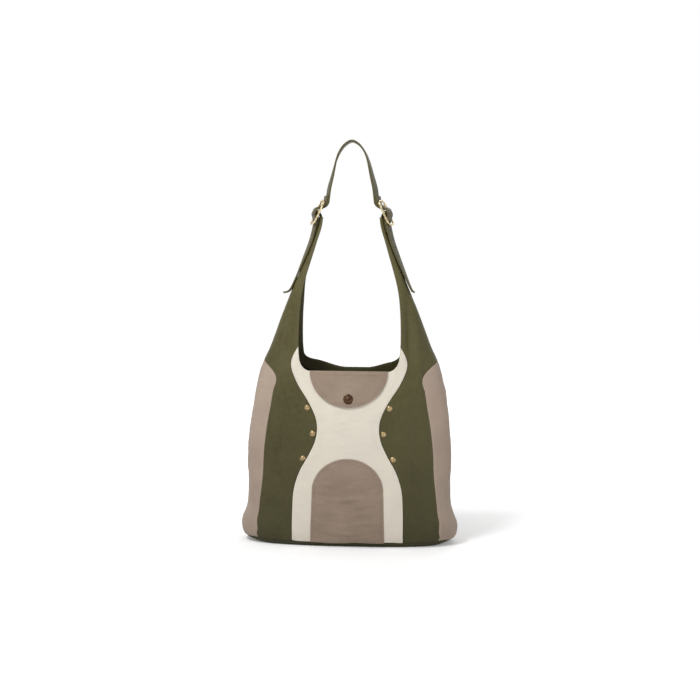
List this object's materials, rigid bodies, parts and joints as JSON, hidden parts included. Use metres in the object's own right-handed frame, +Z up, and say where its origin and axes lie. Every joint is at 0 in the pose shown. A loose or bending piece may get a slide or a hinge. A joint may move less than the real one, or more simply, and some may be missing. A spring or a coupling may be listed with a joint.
{
  "type": "hobo bag",
  "caption": "Patchwork cloth hobo bag with tall ears, a buckled shoulder strap and a press-stud front flap.",
  "frame": {"origin": "centre of the flat underside of the base, where the bag stands", "axes": "+Z up, +X to the right seen from the front, and the front with its flap towards -Y"},
  "size_m": [0.4, 0.135, 0.7376],
  "materials": {
    "olive_panel": "soft smooth leather look, satin",
    "olive_base": "soft smooth leather look, satin",
    "olive_strap": "smooth leather look with painted edges",
    "cream_cloth": "matt cotton twill",
    "taupe_cloth": "matt cotton twill, slightly creased",
    "taupe_gusset": "matt cotton twill",
    "lining": "dark woven lining",
    "board": "stiffening board",
    "snap_metal": "dark antique copper",
    "stud_brass": "antique brass",
    "buckle_brass": "pale polished brass"
  },
  "bodies": {
    "bag": {"front_left_panel": "olive_panel", "front_right_panel": "olive_panel", "front_centre_panel": "cream_cloth", "front_arch_panel": "taupe_cloth", "back_left_panel": "olive_panel", "back_right_panel": "olive_panel", "back_centre_panel": "cream_cloth", "back_arch_panel": "taupe_cloth", "left_gusset": "taupe_gusset", "right_gusset": "taupe_gusset", "base_panel": "olive_base", "base_board": "board", "lining_front": "lining", "lining_back": "lining", "lining_base": "lining", "front_facing": "olive_base", "back_facing": "olive_base", "pocket_back": "lining", "front_snap_stud": "snap_metal", "front_snap_post": "snap_metal", "left_upper_stud_cap": "stud_brass", "left_middle_stud_cap": "stud_brass", "left_lower_stud_cap": "stud_brass", "right_upper_stud_cap": "stud_brass", "right_middle_stud_cap": "stud_brass", "right_lower_stud_cap": "stud_brass", "left_upper_stud_post": "stud_brass", "left_middle_stud_post": "stud_brass", "left_lower_stud_post": "stud_brass", "right_upper_stud_post": "stud_brass", "right_middle_stud_post": "stud_brass", "right_lower_stud_post": "stud_brass", "left_chape": "olive_strap", "right_chape": "olive_strap", "left_strap_tab": "olive_strap", "right_strap_tab": "olive_strap", "shoulder_strap": "olive_strap"},
    "flap": {"front_flap": "taupe_cloth", "flap_snap_cap": "snap_metal", "flap_snap_socket": "snap_metal"},
    "left_buckle": {"left_buckle_frame": "buckle_brass"},
    "left_prong": {"left_buckle_prong": "buckle_brass"},
    "right_buckle": {"right_buckle_frame": "buckle_brass"},
    "right_prong": {"right_buckle_prong": "buckle_brass"}
  },
  "joints": [
    {"name": "flap_hinge", "type": "hinge", "parent": "bag", "child": "flap", "pos_m": [0, -0.0512, 0.3196], "axis": [-1, 0, 0], "range_deg": [0, 150]},
    {"name": "left_buckle_swing", "type": "hinge", "parent": "bag", "child": "left_buckle", "pos_m": [-0.063, 0, 0.606], "axis": [0.2588, -0.9659, 0], "range_deg": [-3, 3]},
    {"name": "left_prong_lift", "type": "hinge", "parent": "left_buckle", "child": "left_prong", "pos_m": [-0.063, 0, 0.606], "axis": [0.2588, -0.9659, 0], "range_deg": [0, 6]},
    {"name": "right_buckle_swing", "type": "hinge", "parent": "bag", "child": "right_buckle", "pos_m": [0.063, 0, 0.606], "axis": [0.2588, 0.9659, 0], "range_deg": [-3, 3]},
    {"name": "right_prong_lift", "type": "hinge", "parent": "right_buckle", "child": "right_prong", "pos_m": [0.063, 0, 0.606], "axis": [0.2588, 0.9659, 0], "range_deg": [0, 6]}
  ]
}
